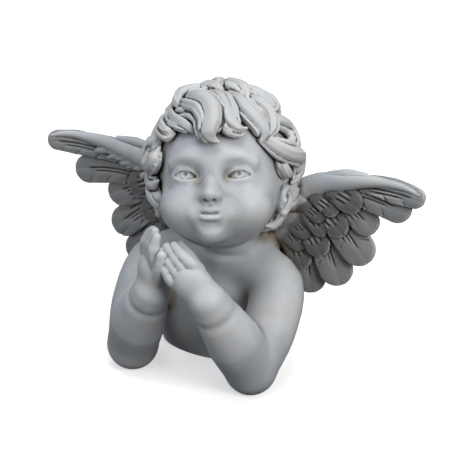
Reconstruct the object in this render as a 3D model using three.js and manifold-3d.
// Angel bust statuette: a winged child resting on its elbows, its cheek against its joined hands.
// It is one casting, so it is one mesh. Units are millimetres and +Z is up. The figure faces -Y,
// its left arm and left wing are on the +X side, and it stands on the plane Z = 0.
// The form is modelled as a sculptor works: masses of clay are pressed together with soft joints,
// hollows are carved out, and the skin of the clay is then drawn with as few triangles as it needs.
import * as THREE from "three";
import { MarchingCubes } from "three/addons/objects/MarchingCubes.js";
import { mergeVertices } from "three/addons/utils/BufferGeometryUtils.js";
import Module from "manifold-3d";

// Driving dimensions of the body
const CHEST = { y: 26, z: 52, halfWidth: 47, halfDepth: 25, halfHeight: 37 };
const BELLY = { y: 24, z: 14, halfWidth: 47, halfDepth: 25, halfHeight: 46 };
const SHOULDER = { x: 46, y: 12, z: 60, radius: 18.5 };
const ELBOW = { x: 44, y: -28, radius: 17.2 };
const ELBOW_FLAT_DEPTH = 0.9; // how far each elbow is rubbed flat where it meets the table
const FOREARM_RADIUS = 18.5;
const WRIST_RADIUS = 12.5;
const NECK_RADIUS = 23;

// The pose of the hands, as places in the whole figure: palm to palm beside the chin
const PALM = { length: 30, width: 25, thickness: 17 };
const FINGER = { radius: 4.2, spacing: 6.5, count: 4 };
const LEFT_HAND = {
  wrist: [27, -58, 77],
  knuckles: [10, -60, 95],
  tips: [-4, -55, 107],
  back: [0.45, -0.85, -0.2],
  thumb: [[20, -50, 88], [10, -50, 102], [4, -48, 108]],
};
const RIGHT_HAND = {
  wrist: [-17, -50, 72],
  knuckles: [-17, -50, 97],
  tips: [-14, -50, 116],
  back: [-0.95, -0.25, 0.05],
  thumb: [[-10, -55, 84], [-5, -60, 96], [-4, -60, 104]],
};

// Driving dimensions of the head, and the pose that the neck gives it
const HEAD = { x: 13, y: -5, z: 134, yaw: 14, pitch: 31, roll: 4 };
const SKULL = { halfWidth: 41, halfLength: 48, halfHeight: 46, back: 6, above: 13 };
const JAW = { halfWidth: 33, halfDepth: 31, halfHeight: 27 };
const CHIN_DROP = 42;
const EYE = { apart: 34, radius: 9, width: 17 };
const NOSE = { drop: 14, width: 16 };
const MOUTH = { width: 17, drop: 24 };
const EAR = { height: 20, width: 12 };

// Driving dimensions of the hair and the wings
const LOCK = { radius: 6, length: 36, lift: 3.4 }; // the length is an angle over the scalp, in degrees
const WING = { span: 280, rootX: 46, y: 42, sweep: -9, rootZ: 104, topZ: 137 };
const FEATHER = { halfWidth: 12, thickness: 4.8, tilt: 9 }; // tilt, in degrees, lays one over the next
const COVERT = { halfWidth: 8.8, length: 12, thickness: 4.8 };

// A place on a wing is [share of the way from root to tip, millimetres below the wing's top].
// The flight feathers go from the wing tip inwards. Each runs from its root to the middle of its round end.
const LEFT_FEATHERS = [
  { root: [0.4, 7], end: [0.905, 7], width: 0.72 },
  { root: [0.36, 11], end: [0.8, 16.2], width: 0.85 },
  { root: [0.3, 17], end: [0.57, 31], width: 0.79 },
  { root: [0.22, 24], end: [0.52, 52], width: 1 },
  { root: [0.15, 31], end: [0.35, 71], width: 1 },
  { root: [0.06, 37], end: [0.14, 82], width: 0.96 },
  { root: [0, 43], end: [0, 79], width: 0.83 },
];
const RIGHT_FEATHERS = [
  { root: [0.38, 10], end: [0.91, 4.2], width: 0.72 },
  { root: [0.26, 24], end: [0.67, 23.5], width: 0.88 },
  { root: [0.15, 34], end: [0.4, 37.5], width: 0.97 },
  { root: [0.11, 44], end: [0.39, 61.5], width: 0.96 },
  { root: [0.06, 53], end: [0.29, 82], width: 0.92 },
  { root: [0.01, 57], end: [0.1, 85], width: 0.83 },
];

// The coverts lie over their roots like scales, in three rows. On the right wing they lie further in.
const COVERT_ROWS = [
  { size: 1, forward: 3.2, places: [[0.46, 16.5], [0.36, 36], [0.22, 53], [0.08, 65]] },
  { size: 0.82, forward: 4.6, places: [[0.31, 23], [0.24, 38.5], [0.06, 53]] },
  { size: 0.68, forward: 5.4, places: [[0.22, 30], [0.11, 44]] },
];
const RIGHT_COVERT_SHIFT = [-0.21, 12];

// Locks that frame the face: places as [turn from the face, angle from the crown], and a size
const FRONT_LOCKS = [
  { size: 1.3, places: [[-34, 44], [-22, 52], [-6, 60], [2, 72], [8, 86]] },
  { size: 1.2, places: [[-10, 34], [6, 46], [20, 60], [28, 72], [38, 76]] },
  { size: 1.05, places: [[24, 34], [34, 50], [46, 62], [50, 74], [57, 81]] },
  { size: 1.05, places: [[50, 40], [66, 52], [86, 58], [92, 68], [80, 72]] },
  { size: 1.15, places: [[54, 60], [58, 76], [76, 84], [92, 82], [104, 90]] },
  { size: 0.8, places: [[66, 84], [72, 94], [82, 100], [84, 108]] },
  { size: 0.95, places: [[-30, 40], [-44, 50], [-38, 62], [-28, 68]] },
  { size: 1.1, places: [[-54, 44], [-66, 58], [-54, 70], [-44, 74]] },
  { size: 1.1, places: [[-78, 54], [-82, 70], [-64, 82], [-54, 92]] },
  { size: 1, places: [[-82, 76], [-78, 92], [-60, 102], [-60, 114]] },
  { size: 0.95, places: [[-90, 88], [-84, 104], [-68, 114], [-70, 128]] },
];

// Rows of locks over the rest of the scalp, each from one side of the face round the back to the other
const HAIR_ROWS = [
  { from: -6, count: 5, start: 50, end: 410 },
  { from: 18, count: 8, start: 48, end: 330 },
  { from: 40, count: 9, start: 92, end: 300 },
  { from: 62, count: 10, start: 104, end: 286 },
  { from: 84, count: 9, start: 108, end: 270 },
  { from: 104, count: 8, start: 116, end: 252 },
];

// How finely the clay is sampled, and how many triangles the finished skin may keep
const CELLS = 138;
const SKIN_TRIANGLES = 9800;
const FAR = 1000;
const LEAST = 0.03;
const UNDERCUT = 2; // the clay is sliced off this far below the table, before it is ground flat

const degrees = THREE.MathUtils.degToRad;
const lerp = THREE.MathUtils.lerp;

// One mass of clay: the distance from a point to its skin, and the box that holds it
const masses = [];

function press(mass, blend, carve = false) {
  masses.push({ ...mass, blend, carve });
}

const carve = (mass, blend) => press(mass, blend, true);
const point = (x, y, z) => new THREE.Vector3(x, y, z);
const boxAround = (centre, reach) => new THREE.Box3(centre, centre).clone().expandByScalar(reach);

// An egg of clay with three half-sizes, turned by a quaternion
function egg(centre, halves, turn = new THREE.Quaternion()) {
  const inverse = new THREE.Matrix4().makeRotationFromQuaternion(turn.clone().invert()).elements;
  const [a, b, c] = halves;
  const reach = Math.max(a, b, c);
  const distance = (x, y, z) => {
    const dx = x - centre.x;
    const dy = y - centre.y;
    const dz = z - centre.z;
    const u = inverse[0] * dx + inverse[4] * dy + inverse[8] * dz;
    const v = inverse[1] * dx + inverse[5] * dy + inverse[9] * dz;
    const w = inverse[2] * dx + inverse[6] * dy + inverse[10] * dz;
    const near = Math.sqrt((u * u) / (a * a) + (v * v) / (b * b) + (w * w) / (c * c));
    const slope = Math.sqrt((u * u) / a ** 4 + (v * v) / b ** 4 + (w * w) / c ** 4);
    return slope > 1e-9 ? (near * (near - 1)) / slope : -Math.min(a, b, c);
  };
  return { distance, box: boxAround(centre, reach) };
}

// A roll of clay along a smooth curve. Each station is a point and the radius there. With flat above 1
// the roll is pressed flat along the direction face, as a feather or a lid is.
function roll(points, radii, { steps = 4, flat = 1, face = new THREE.Vector3(0, -1, 0) } = {}) {
  const curve = new THREE.CatmullRomCurve3(points);
  const count = steps * (points.length - 1);
  const radiusAt = (t) => {
    const place = t * (radii.length - 1);
    const before = Math.min(Math.floor(place), radii.length - 2);
    return lerp(radii[before], radii[before + 1], place - before);
  };
  const box = new THREE.Box3();
  const pieces = new Float64Array(9 * count);
  for (let i = 0; i < count; i++) {
    const [start, end] = [curve.getPoint(i / count), curve.getPoint((i + 1) / count)];
    const [startRadius, endRadius] = [radiusAt(i / count), radiusAt((i + 1) / count)];
    const run = end.clone().sub(start);
    pieces.set([...start, ...run, 1 / run.lengthSq(), startRadius, endRadius - startRadius], 9 * i);
    box.union(boxAround(start, startRadius)).union(boxAround(end, endRadius));
  }
  const extra = flat * flat - 1;
  const distance = (x, y, z) => {
    let nearest = Infinity;
    for (let i = 0; i < pieces.length; i += 9) {
      const px = x - pieces[i];
      const py = y - pieces[i + 1];
      const pz = z - pieces[i + 2];
      const [ex, ey, ez] = [pieces[i + 3], pieces[i + 4], pieces[i + 5]];
      const along = Math.min(1, Math.max(0, (px * ex + py * ey + pz * ez) * pieces[i + 6]));
      const vx = px - along * ex;
      const vy = py - along * ey;
      const vz = pz - along * ez;
      const radius = pieces[i + 7] + along * pieces[i + 8];
      const square = vx * vx + vy * vy + vz * vz;
      let near = Math.sqrt(square) - radius;
      if (extra !== 0) {
        const out = vx * face.x + vy * face.y + vz * face.z;
        const stretched = Math.sqrt(square + extra * out * out);
        const slope = Math.sqrt(square + extra * (extra + 2) * out * out);
        near = slope > 1e-9 ? ((stretched - radius) * stretched) / slope : -radius / flat;
      }
      if (near < nearest) nearest = near;
    }
    return nearest;
  };
  return { distance, box };
}

// The head's own frame: -Y is the way the face looks, +X is the figure's left, +Z is the crown
const headFrame = new THREE.Object3D();
headFrame.rotation.set(degrees(-HEAD.pitch), degrees(-HEAD.roll), degrees(HEAD.yaw), "ZXY");
headFrame.position.set(HEAD.x, HEAD.y, HEAD.z);
headFrame.updateMatrixWorld(true);
const inHead = (x, y, z) => headFrame.localToWorld(point(x, y, z));
const headTurn = headFrame.quaternion;
const headEgg = (x, y, z, halves) => egg(inHead(x, y, z), halves, headTurn);
const headRoll = (list, radii, options) => roll(list.map((p) => inHead(...p)), radii, options);

function skullAndFace() {
  press(headEgg(0, SKULL.back, SKULL.above, [SKULL.halfWidth, SKULL.halfLength, SKULL.halfHeight]), 0);
  press(headEgg(0, -11, -15, [JAW.halfWidth, JAW.halfDepth, JAW.halfHeight]), 14);
  press(headEgg(0, SKULL.back - SKULL.halfLength + 32, 15, [32, 33.5, 26]), 8);
  for (const side of [-1, 1]) {
    press(headEgg(side * 19, -24, -18, [16, 16, 15]), 8);
  }
  press(headEgg(0, -33, 8.5 - CHIN_DROP, [9, 8.5, 8.5]), 7);
}

// The face follows a drawing book's rules for a small child: the eyes a little below half way, one eye's
// width apart, the nose a third of the way from there to the chin and the mouth over half way
function eyes() {
  const front = -42;
  const half = EYE.width / 2;
  for (const side of [-1, 1]) {
    const x = (side * EYE.apart) / 2;
    carve(headEgg(x, front - 2, 1.5, [half + 3, 7, 8]), 8);
    press(headEgg(x, front + EYE.radius + 1.6, 0, [EYE.radius, EYE.radius, EYE.radius]), 1.5);
    const lid = (rise, out) => [
      [x - side * half, front + 4, -1.6],
      [x - side * 0.55 * half, front + 2.2 - out, rise * 0.72],
      [x + side * 0.4, front + 1.2 - out, rise],
      [x + side * 0.6 * half, front + 2.6 - out, rise * 0.76],
      [x + side * (half + 0.5), front + 6, -0.8],
    ];
    press(headRoll(lid(5, 0.6), [0.9, 1.4, 1.6, 1.4, 0.9]), 2);
    press(headRoll(lid(-4.6, 0), [0.8, 1.1, 1.3, 1.1, 0.8]), 2);
    const brow = [[side * 6, front, 9], [x, front - 1, 11.5], [side * 26, front + 6, 8.5]];
    press(headRoll(brow, [2, 2.6, 2]), 7);
  }
}

function nose() {
  const tip = 1 - NOSE.drop;
  press(headRoll([[0, -41, 1], [0, -44.5, tip + 5], [0, -48.6, tip]], [3.2, 3.6, 4.8]), 5);
  for (const side of [-1, 1]) {
    press(headEgg(side * (NOSE.width / 2 - 3.3), -45.4, tip - 0.6, [3.4, 3.8, 3]), 2);
    carve(headEgg(side * 2.7, -48.4, tip - 3.6, [1.5, 2, 1.9]), 0.8);
  }
}

function mouth() {
  const half = MOUTH.width / 2;
  const z = -MOUTH.drop;
  press(headEgg(0, -35.5, z, [half + 4, 8.5, 8.5]), 6);
  const bow = [[-half, -40, z], [-3.4, -44.2, z + 2.8], [0, -44.5, z + 1.9], [3.4, -44.2, z + 2.8]];
  bow.push([half, -40, z]);
  press(headRoll(bow, [0.9, 2, 1.9, 2, 0.9]), 1.6);
  const below = [[1 - half, -40.2, z - 1.4], [0, -43.6, z - 4], [half - 1, -40.2, z - 1.4]];
  press(headRoll(below, [0.9, 2.7, 0.9]), 1.6);
  carve(headRoll([[-half - 0.5, -40.6, z], [0, -46.8, z - 0.6], [half + 0.5, -40.6, z]], [0.7, 1.2, 0.7]), 1);
  carve(headRoll([[-4, -42.8, z - 9], [0, -44, z - 8.6], [4, -42.8, z - 9]], [1.6, 2, 1.6]), 4);
}

function ears() {
  const tall = EAR.height / 2;
  for (const side of [-1, 1]) {
    const x = side * (SKULL.halfWidth - 1);
    press(headEgg(x, 3, -11, [4.5, EAR.width / 2, tall]), 3);
    carve(headEgg(x + side * 4.6, 1.6, -10.5, [3.4, 3.4, tall - 4.4]), 1.5);
    const rim = [
      [x, -2, -14],
      [x + side * 1.8, -3.5, -5],
      [x + side * 3.4, 2, tall - 11.5],
      [x + side * 4.8, 8.6, -6],
      [x + side * 3.8, 7.4, -13],
      [x + side, 1.5, -20.5],
    ];
    press(headRoll(rim, [1.7, 1.9, 2.2, 2.2, 2.2, 3]), 1.2);
  }
}

// A point over the scalp, from its turn away from the face, its angle from the crown and its height
function overScalp(azimuth, fromCrown, lift) {
  const turn = degrees(azimuth);
  const down = degrees(fromCrown);
  const x = Math.sin(down) * Math.sin(turn) * (SKULL.halfWidth + lift);
  const y = -Math.sin(down) * Math.cos(turn) * (SKULL.halfLength + lift) + SKULL.back;
  return inHead(x, y, Math.cos(down) * (SKULL.halfHeight + lift) + SKULL.above);
}

// One lock of hair through a few places on the scalp. It swells in the middle and its end curls outwards.
function lock(places, size) {
  const last = places.length - 1;
  const shape = places.map(([azimuth, fromCrown], i) => {
    const t = i / last;
    const lift = 0.5 + 0.9 * Math.sin(Math.PI * t) + 0.7 * t * t;
    return overScalp(azimuth, fromCrown, LOCK.lift * size * lift);
  });
  const radii = [0.75, 1.1, 1.15, 0.95, 0.5].map((share) => share * LOCK.radius * size);
  press(roll(shape, radii, { steps: 3 }), 1.2);
}

function hair() {
  const cap = [SKULL.halfWidth + 3.5, SKULL.halfLength - 1, SKULL.halfHeight + 3.5];
  press(headEgg(0, SKULL.back + 6, SKULL.above + 2, cap), 3);
  for (const { places, size } of FRONT_LOCKS) lock(places, size);
  const sway = [-0.9, 0.3, 0.9, 0.5, -0.6];
  HAIR_ROWS.forEach((row, r) => {
    for (let i = 0; i < row.count; i++) {
      const azimuth = lerp(row.start, row.end, (i + 0.25 + 0.5 * (r % 2)) / row.count);
      const size = 1.12 + 0.12 * Math.sin(i * 1.7 + r * 2.1);
      const lean = (azimuth < 190 ? 1 : -1) * (9 + 4 * Math.sin(i * 2.4 + r));
      const spread = lean / Math.max(0.5, Math.sin(degrees(row.from + LOCK.length / 2)));
      lock(sway.map((aside, k) => [azimuth + aside * spread, row.from + (k / 4) * LOCK.length]), size);
    }
  });
}

function torso() {
  const throat = [point(6, 18, 84), point(HEAD.x - 2, 12, HEAD.z - 22)];
  press(roll(throat, [NECK_RADIUS, NECK_RADIUS - 2]), 6);
  press(egg(point(0, CHEST.y, CHEST.z), [CHEST.halfWidth, CHEST.halfDepth, CHEST.halfHeight]), 9);
  press(egg(point(0, BELLY.y, BELLY.z), [BELLY.halfWidth, BELLY.halfDepth, BELLY.halfHeight]), 10);
  for (const side of [-1, 1]) {
    press(egg(point(side * 22, CHEST.y + 18, CHEST.z + 18), [15, 8, 18]), 8);
  }
  const back = CHEST.y + CHEST.halfDepth;
  const spine = [point(0, back + 3, CHEST.z + 24), point(0, back + 3, CHEST.z), point(0, back + 2, 8)];
  carve(roll(spine, [4, 5, 4]), 10);
}

function arm(side, wrist) {
  const elbow = point(side * ELBOW.x, ELBOW.y, ELBOW.radius - ELBOW_FLAT_DEPTH);
  const shoulder = point(side * SHOULDER.x, SHOULDER.y, SHOULDER.z);
  const middle = shoulder.clone().lerp(elbow, 0.52).add(point(side * 4, 0, 0));
  const r = SHOULDER.radius;
  press(roll([point(side * 24, 20, 72), shoulder, middle, elbow], [r - 2, r, r, ELBOW.radius]), 8);
  const bulge = elbow.clone().lerp(wrist, 0.42).add(point(side * 1.5, -1, 0));
  press(roll([elbow, bulge, wrist], [ELBOW.radius, FOREARM_RADIUS, WRIST_RADIUS]), 2.5);
}

// A hand: a plump palm and four fingers side by side, with the thumb on its own
function hand({ wrist, knuckles, tips, back, thumb }) {
  const [start, bend, end] = [wrist, knuckles, tips].map((p) => point(...p));
  const outward = point(...back).normalize();
  const reach = bend.clone().sub(start).normalize();
  const across = new THREE.Vector3().crossVectors(outward, reach).normalize();
  const turn = new THREE.Quaternion();
  turn.setFromRotationMatrix(new THREE.Matrix4().makeBasis(reach, across, outward));
  const halves = [PALM.length / 2, PALM.width / 2, PALM.thickness / 2];
  press(egg(start.clone().lerp(bend, 0.55), halves, turn), 4);
  const shorter = [0.12, 0, 0.03, 0.2];
  for (let i = 0; i < FINGER.count; i++) {
    const aside = across.clone().multiplyScalar((i - (FINGER.count - 1) / 2) * FINGER.spacing);
    const root = bend.clone().add(aside);
    const tip = end.clone().addScaledVector(aside, 0.8).lerp(root, shorter[i % shorter.length]);
    const joint = root.clone().lerp(tip, 0.5).addScaledVector(outward, 1.6);
    const r = FINGER.radius;
    press(roll([root, joint, tip], [r, r * 0.95, r * 0.75]), 0.8);
  }
  press(roll(thumb.map((p) => point(...p)), [1.2, 1.05, 0.8].map((share) => share * FINGER.radius)), 1.5);
}

// A place on a wing, which leans a little towards the front from its root to its tip
function onWing(side, [out, below], forward = 0) {
  const x = WING.rootX + out * (WING.span / 2 - WING.rootX);
  return point(side * x, WING.y + WING.sweep * out - forward, WING.topZ - below);
}

// One feather: a flat leaf with a round end, tipped about its own length so that it overlaps the next
function feather(start, end, side, { halfWidth, thickness, bow }) {
  const points = [0, 0.35, 0.7, 1].map((t) => {
    const place = start.clone().lerp(end, t);
    return place.setZ(place.z + bow * 4 * t * (1 - t));
  });
  const along = end.clone().sub(start).normalize();
  const face = point(0, -1, 0).applyAxisAngle(along, degrees(-side * FEATHER.tilt));
  face.addScaledVector(along, -face.dot(along)).normalize();
  const widths = [0.78, 0.95, 1.02, 1].map((share) => share * halfWidth);
  press(roll(points, widths, { steps: 2, flat: (2 * halfWidth) / thickness, face }), 0.4);
}

function flightFeathers(side) {
  const row = side > 0 ? LEFT_FEATHERS : RIGHT_FEATHERS;
  row.forEach(({ root, end, width }, i) => {
    const shape = { halfWidth: FEATHER.halfWidth * width, thickness: FEATHER.thickness, bow: 2 };
    feather(onWing(side, root, -i * 0.5), onWing(side, end, -i * 0.5), side, shape);
  });
}

// The scales turn from level at the wing's top to nearly upright at its foot
function coverts(side) {
  const [shiftOut, shiftDown] = side > 0 ? [0, 0] : RIGHT_COVERT_SHIFT;
  const { topZ, rootZ } = WING;
  for (const { size, forward, places } of COVERT_ROWS) {
    for (const [out, below] of places) {
      const end = onWing(side, [out + shiftOut, below + shiftDown], forward);
      const turn = degrees(-8 - (30 * below) / (topZ - rootZ));
      const length = COVERT.length * size;
      const start = end.clone().sub(point(side * Math.cos(turn), 0, Math.sin(turn)).multiplyScalar(length));
      feather(start, end, side, { halfWidth: COVERT.halfWidth * size, thickness: COVERT.thickness, bow: 0.5 });
    }
  }
}

function wing(side) {
  flightFeathers(side);
  coverts(side);
  const toRoot = WING.topZ - WING.rootZ;
  const root = [point(side * 16, CHEST.y + 14, CHEST.z + 20), onWing(side, [-0.04, toRoot], 1)];
  press(roll(root, [12, 11]), 12);
  const bone = [
    [-0.15, toRoot + 8], [0.02, toRoot - 12], [0.21, 10], [0.38, 5], [0.54, 1.2],
    [0.71, -1], [0.85, -1], [0.96, 2],
  ];
  const sink = side > 0 ? 5 : -2;
  const places = bone.map(([out, below]) => onWing(side, [out, below + sink * Math.max(0, out - 0.5)], 1));
  press(roll(places, [8, 8.5, 8.3, 7, 5, 3.4, 2.6, 1.8], { flat: 1.15 }), 1.5);
  press(egg(onWing(side, [0.04, toRoot + 4]), [16, 6, 27]), 4);
  const mantle = [[-0.15, toRoot + 14], [-0.03, toRoot - 1], [0.08, toRoot - 14]];
  press(roll(mantle.map((place) => onWing(side, place, 3)), [6.5, 7, 6.5]), 3);
  const shift = side > 0 ? 0.14 : 0;
  const tuft = [[0.14, 2.5], [0.28, -1], [0.42, -2.5]];
  press(roll(tuft.map(([out, below]) => onWing(side, [out + shift, below])), [3, 3.4, 1.8]), 1.5);
}

// The clay is sampled on a grid that just holds every mass, with its own spacing along each axis
function sample() {
  const room = new THREE.Box3();
  for (const mass of masses.filter((m) => !m.carve)) room.union(mass.box);
  room.min.z = -UNDERCUT;
  room.expandByScalar(4);
  const below = room.clone();
  below.max.z = 0;
  carve({ distance: (x, y, z) => z + UNDERCUT, box: below }, 0);
  const size = room.getSize(point(0, 0, 0));
  const cell = size.clone().divideScalar(CELLS - 5);
  const low = room.min.clone().addScaledVector(cell, -2);
  const clay = new MarchingCubes(CELLS, undefined, false, false, 400000);
  clay.isolation = 0;
  clay.field.fill(-FAR);
  for (const { distance, box, blend, carve: hollow } of masses) {
    const margin = blend + 2 * Math.max(cell.x, cell.y, cell.z);
    const limit = point(CELLS - 1, CELLS - 1, CELLS - 1);
    const inCells = (corner) => corner.sub(low).divide(cell).round().clamp(point(0, 0, 0), limit).toArray();
    const first = inCells(box.min.clone().subScalar(margin));
    const last = inCells(box.max.clone().addScalar(margin));
    for (let k = first[2]; k <= last[2]; k++) {
      for (let j = first[1]; j <= last[1]; j++) {
        for (let i = first[0]; i <= last[0]; i++) {
          const old = -clay.getCell(i, j, k);
          const near = distance(low.x + i * cell.x, low.y + j * cell.y, low.z + k * cell.z);
          const now = hollow ? -softer(-old, near, blend) : softer(old, near, blend);
          clay.setCell(i, j, k, -now);
        }
      }
    }
  }
  // A value of exactly nothing would put a skin point on a grid corner and fold a triangle flat
  clay.field.forEach((v, i) => {
    if (Math.abs(v) < LEAST) clay.field[i] = v < 0 ? -LEAST : LEAST;
  });
  clay.update();
  return weld(clay, low, cell);
}

// Every corner of the skin lies on one edge of the grid, and triangles that name the same edge share it
function weld(clay, low, cell) {
  const half = CELLS / 2;
  const known = new Map();
  const place = [];
  const corners = [];
  for (let v = 0; v < clay.count; v++) {
    const grid = [0, 1, 2].map((axis) => half + half * clay.positionArray[3 * v + axis]);
    const whole = grid.map((g) => Math.floor(g + 1e-3));
    const edge = grid.findIndex((g, axis) => g - whole[axis] > 2e-3);
    const name = ((whole[2] * CELLS + whole[1]) * CELLS + whole[0]) * 3 + edge;
    if (!known.has(name)) {
      known.set(name, place.length / 3);
      place.push(low.x + grid[0] * cell.x, low.y + grid[1] * cell.y, low.z + grid[2] * cell.z);
    }
    corners.push(known.get(name));
  }
  return { place, corners: outerSkin(place, corners) };
}

// Air shut in between two masses counts as clay: only the skin that holds the highest corner is kept
function outerSkin(place, corners) {
  const group = place.slice(0, place.length / 3).map((_, v) => v);
  const find = (v) => {
    while (group[v] !== v) v = group[v] = group[group[v]];
    return v;
  };
  for (let i = 0; i < corners.length; i += 3) {
    group[find(corners[i])] = find(corners[i + 1]);
    group[find(corners[i + 1])] = find(corners[i + 2]);
  }
  const highest = group.reduce((best, _, v) => (place[3 * v + 2] > place[3 * best + 2] ? v : best), 0);
  return corners.filter((v) => find(v) === find(highest));
}

// The lesser of two distances, with the corner between them filled over the width of the blend
function softer(a, b, blend) {
  if (blend <= 0) return Math.min(a, b);
  const overlap = Math.max(blend - Math.abs(a - b), 0) / blend;
  return Math.min(a, b) - (overlap * overlap * blend) / 4;
}

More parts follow.
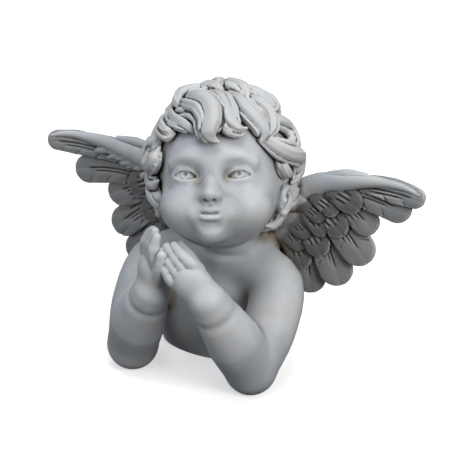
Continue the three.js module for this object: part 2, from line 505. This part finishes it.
// Thins a closed skin to a number of triangles by merging, again and again, the pair of neighbouring
// corners whose merger moves the surface least. Each corner carries the planes that it must stay near.
function thin(skin, target) {
  const at = Float64Array.from(skin.place);
  const corner = Uint32Array.from(skin.corners);
  const vertexCount = at.length / 3;
  const planes = new Float64Array(vertexCount * 10);
  const around = Array.from({ length: vertexCount }, () => new Set());
  const dead = new Uint8Array(corner.length / 3);
  const normalOf = (a, b, c) => {
    const [ux, uy, uz] = [b[0] - a[0], b[1] - a[1], b[2] - a[2]];
    const [vx, vy, vz] = [c[0] - a[0], c[1] - a[1], c[2] - a[2]];
    return [uy * vz - uz * vy, uz * vx - ux * vz, ux * vy - uy * vx];
  };
  const placeOf = (v) => [at[3 * v], at[3 * v + 1], at[3 * v + 2]];
  let alive = dead.length;
  for (let f = 0; f < dead.length; f++) {
    const [a, b, c] = corner.subarray(3 * f, 3 * f + 3);
    const n = normalOf(placeOf(a), placeOf(b), placeOf(c));
    const area = Math.hypot(...n);
    n.forEach((v, i) => (n[i] = v / area));
    const weight = area * (point(...placeOf(a)).distanceTo(KEEN.centre) < KEEN.radius ? KEEN.weight : 1);
    const d = -(n[0] * at[3 * a] + n[1] * at[3 * a + 1] + n[2] * at[3 * a + 2]);
    const plane = [n[0], n[1], n[2], d];
    for (const v of [a, b, c]) {
      around[v].add(f);
      let slot = 10 * v;
      for (let i = 0; i < 4; i++) for (let j = i; j < 4; j++) planes[slot++] += plane[i] * plane[j] * weight;
    }
  }
  const cost = (q, [x, y, z]) => {
    const squares = q[0] * x * x + q[4] * y * y + q[7] * z * z + q[9];
    return squares + 2 * (q[1] * x * y + q[2] * x * z + q[5] * y * z + q[3] * x + q[6] * y + q[8] * z);
  };
  // The best place for the merged corner: where its planes meet, or else the better of three points
  const merge = (a, b) => {
    const q = new Array(10);
    for (let i = 0; i < 10; i++) q[i] = planes[10 * a + i] + planes[10 * b + i];
    const pa = placeOf(a);
    const pb = placeOf(b);
    const apart = Math.hypot(pa[0] - pb[0], pa[1] - pb[1], pa[2] - pb[2]);
    const middle = pa.map((v, i) => (v + pb[i]) / 2);
    const options = [pa, pb, middle];
    const m = new THREE.Matrix3().set(q[0], q[1], q[2], q[1], q[4], q[5], q[2], q[5], q[7]);
    const size = q[0] + q[4] + q[7];
    if (Math.abs(m.determinant()) > 1e-5 * size * size * size) {
      const best = point(-q[3], -q[6], -q[8]).applyMatrix3(m.invert());
      if (best.distanceTo(point(...middle)) < 2 * apart) options.push(best.toArray());
    }
    let chosen = options[0];
    let least = Infinity;
    for (const option of options) {
      const c = cost(q, option);
      if (c < least) [chosen, least] = [option, c];
    }
    return { a, b, place: chosen, cost: Math.max(0, least) + 1e-4 * apart * apart };
  };
  const version = new Uint32Array(vertexCount);
  const heap = [];
  const swap = (i, j) => ([heap[i], heap[j]] = [heap[j], heap[i]]);
  const put = (entry) => {
    entry.stamp = version[entry.a] + version[entry.b];
    heap.push(entry);
    let i = heap.length - 1;
    while (i > 0 && heap[(i - 1) >> 1].cost > heap[i].cost) {
      swap(i, (i - 1) >> 1);
      i = (i - 1) >> 1;
    }
  };
  const take = () => {
    const top = heap[0];
    const last = heap.pop();
    if (heap.length) {
      heap[0] = last;
      for (let i = 0; ; ) {
        let child = 2 * i + 1;
        if (child >= heap.length) break;
        if (child + 1 < heap.length && heap[child + 1].cost < heap[child].cost) child++;
        if (heap[i].cost <= heap[child].cost) break;
        swap(i, child);
        i = child;
      }
    }
    return top;
  };
  const neighbours = (v) => {
    const found = new Set();
    for (const f of around[v]) for (let i = 0; i < 3; i++) found.add(corner[3 * f + i]);
    found.delete(v);
    return found;
  };
  const turnsOver = (v, other, place) => {
    for (const f of around[v]) {
      const three = [corner[3 * f], corner[3 * f + 1], corner[3 * f + 2]];
      if (three.includes(other)) continue;
      const before = normalOf(...three.map(placeOf));
      const after = normalOf(...three.map((c) => (c === v ? place : placeOf(c))));
      const agree = before[0] * after[0] + before[1] * after[1] + before[2] * after[2];
      if (agree < 0.25 * Math.hypot(...before) * Math.hypot(...after)) return true;
    }
    return false;
  };
  for (let v = 0; v < vertexCount; v++) for (const n of neighbours(v)) if (n > v) put(merge(v, n));
  while (alive > target && heap.length) {
    const { a, b, place, stamp } = take();
    if (!around[a].size || !around[b].size || stamp !== version[a] + version[b]) continue;
    const nearB = neighbours(b);
    if ([...neighbours(a)].filter((n) => nearB.has(n)).length !== 2) continue;
    if (turnsOver(a, b, place) || turnsOver(b, a, place)) continue;
    for (let i = 0; i < 3; i++) at[3 * a + i] = place[i];
    for (let i = 0; i < 10; i++) planes[10 * a + i] += planes[10 * b + i];
    for (const f of around[b]) {
      if (around[a].has(f)) {
        dead[f] = 1;
        alive--;
        for (let i = 0; i < 3; i++) around[corner[3 * f + i]].delete(f);
      } else {
        for (let i = 0; i < 3; i++) if (corner[3 * f + i] === b) corner[3 * f + i] = a;
        around[a].add(f);
      }
    }
    around[b].clear();
    version[a]++;
    for (const n of neighbours(a)) put(merge(a, n));
  }
  const kept = [];
  for (let f = 0; f < dead.length; f++) if (!dead[f]) kept.push(...corner.subarray(3 * f, 3 * f + 3));
  const used = [...new Set(kept)];
  const renumbered = new Map(used.map((v, i) => [v, i]));
  return {
    places: Float32Array.from(used.flatMap(placeOf)),
    triangles: Uint32Array.from(kept.map((v) => renumbered.get(v))),
  };
}

// The face and hands are worked more finely than the rest
const KEEN = { centre: inHead(0, -45, -22), radius: 44, weight: 5 };

skullAndFace();
eyes();
nose();
mouth();
ears();
hair();
torso();
for (const [side, pose] of [[-1, RIGHT_HAND], [1, LEFT_HAND]]) {
  arm(side, point(...pose.wrist));
  hand(pose);
  wing(side);
}

const wasm = await Module();
wasm.setup();

function solidOf(vertProperties, triVerts) {
  return new wasm.Manifold(new wasm.Mesh({ numProp: 3, vertProperties, triVerts }));
}

const { places, triangles } = thin(sample(), SKIN_TRIANGLES);
const cast = solidOf(places, triangles);

// The table: everything of the casting that would reach below it is ground off flat
const slab = new THREE.BoxGeometry(2 * WING.span, 2 * WING.span, 100).translate(0, 0, -50);
const table = mergeVertices(slab.deleteAttribute("normal").deleteAttribute("uv"));
const tableSolid = solidOf(table.getAttribute("position").array, Uint32Array.from(table.index.array));
const ground = cast.subtract(tableSolid);
const mesh = ground.getMesh();
const geometry = new THREE.BufferGeometry();
geometry.setAttribute("position", new THREE.BufferAttribute(mesh.vertProperties, 3));
geometry.setIndex(new THREE.BufferAttribute(mesh.triVerts, 1));
geometry.computeBoundingBox();
const middle = geometry.boundingBox.getCenter(point(0, 0, 0));
geometry.translate(-middle.x, -middle.y, 0); // the origin is on the table, under the middle of the whole
geometry.computeVertexNormals();

const glaze = new THREE.MeshStandardMaterial({ color: 0xaeb2b7, roughness: 0.55, metalness: 0 });
const bust = new THREE.Mesh(geometry, glaze);
bust.name = "angel_bust";
const statuette = new THREE.Group();
statuette.add(bust);

export default statuette;
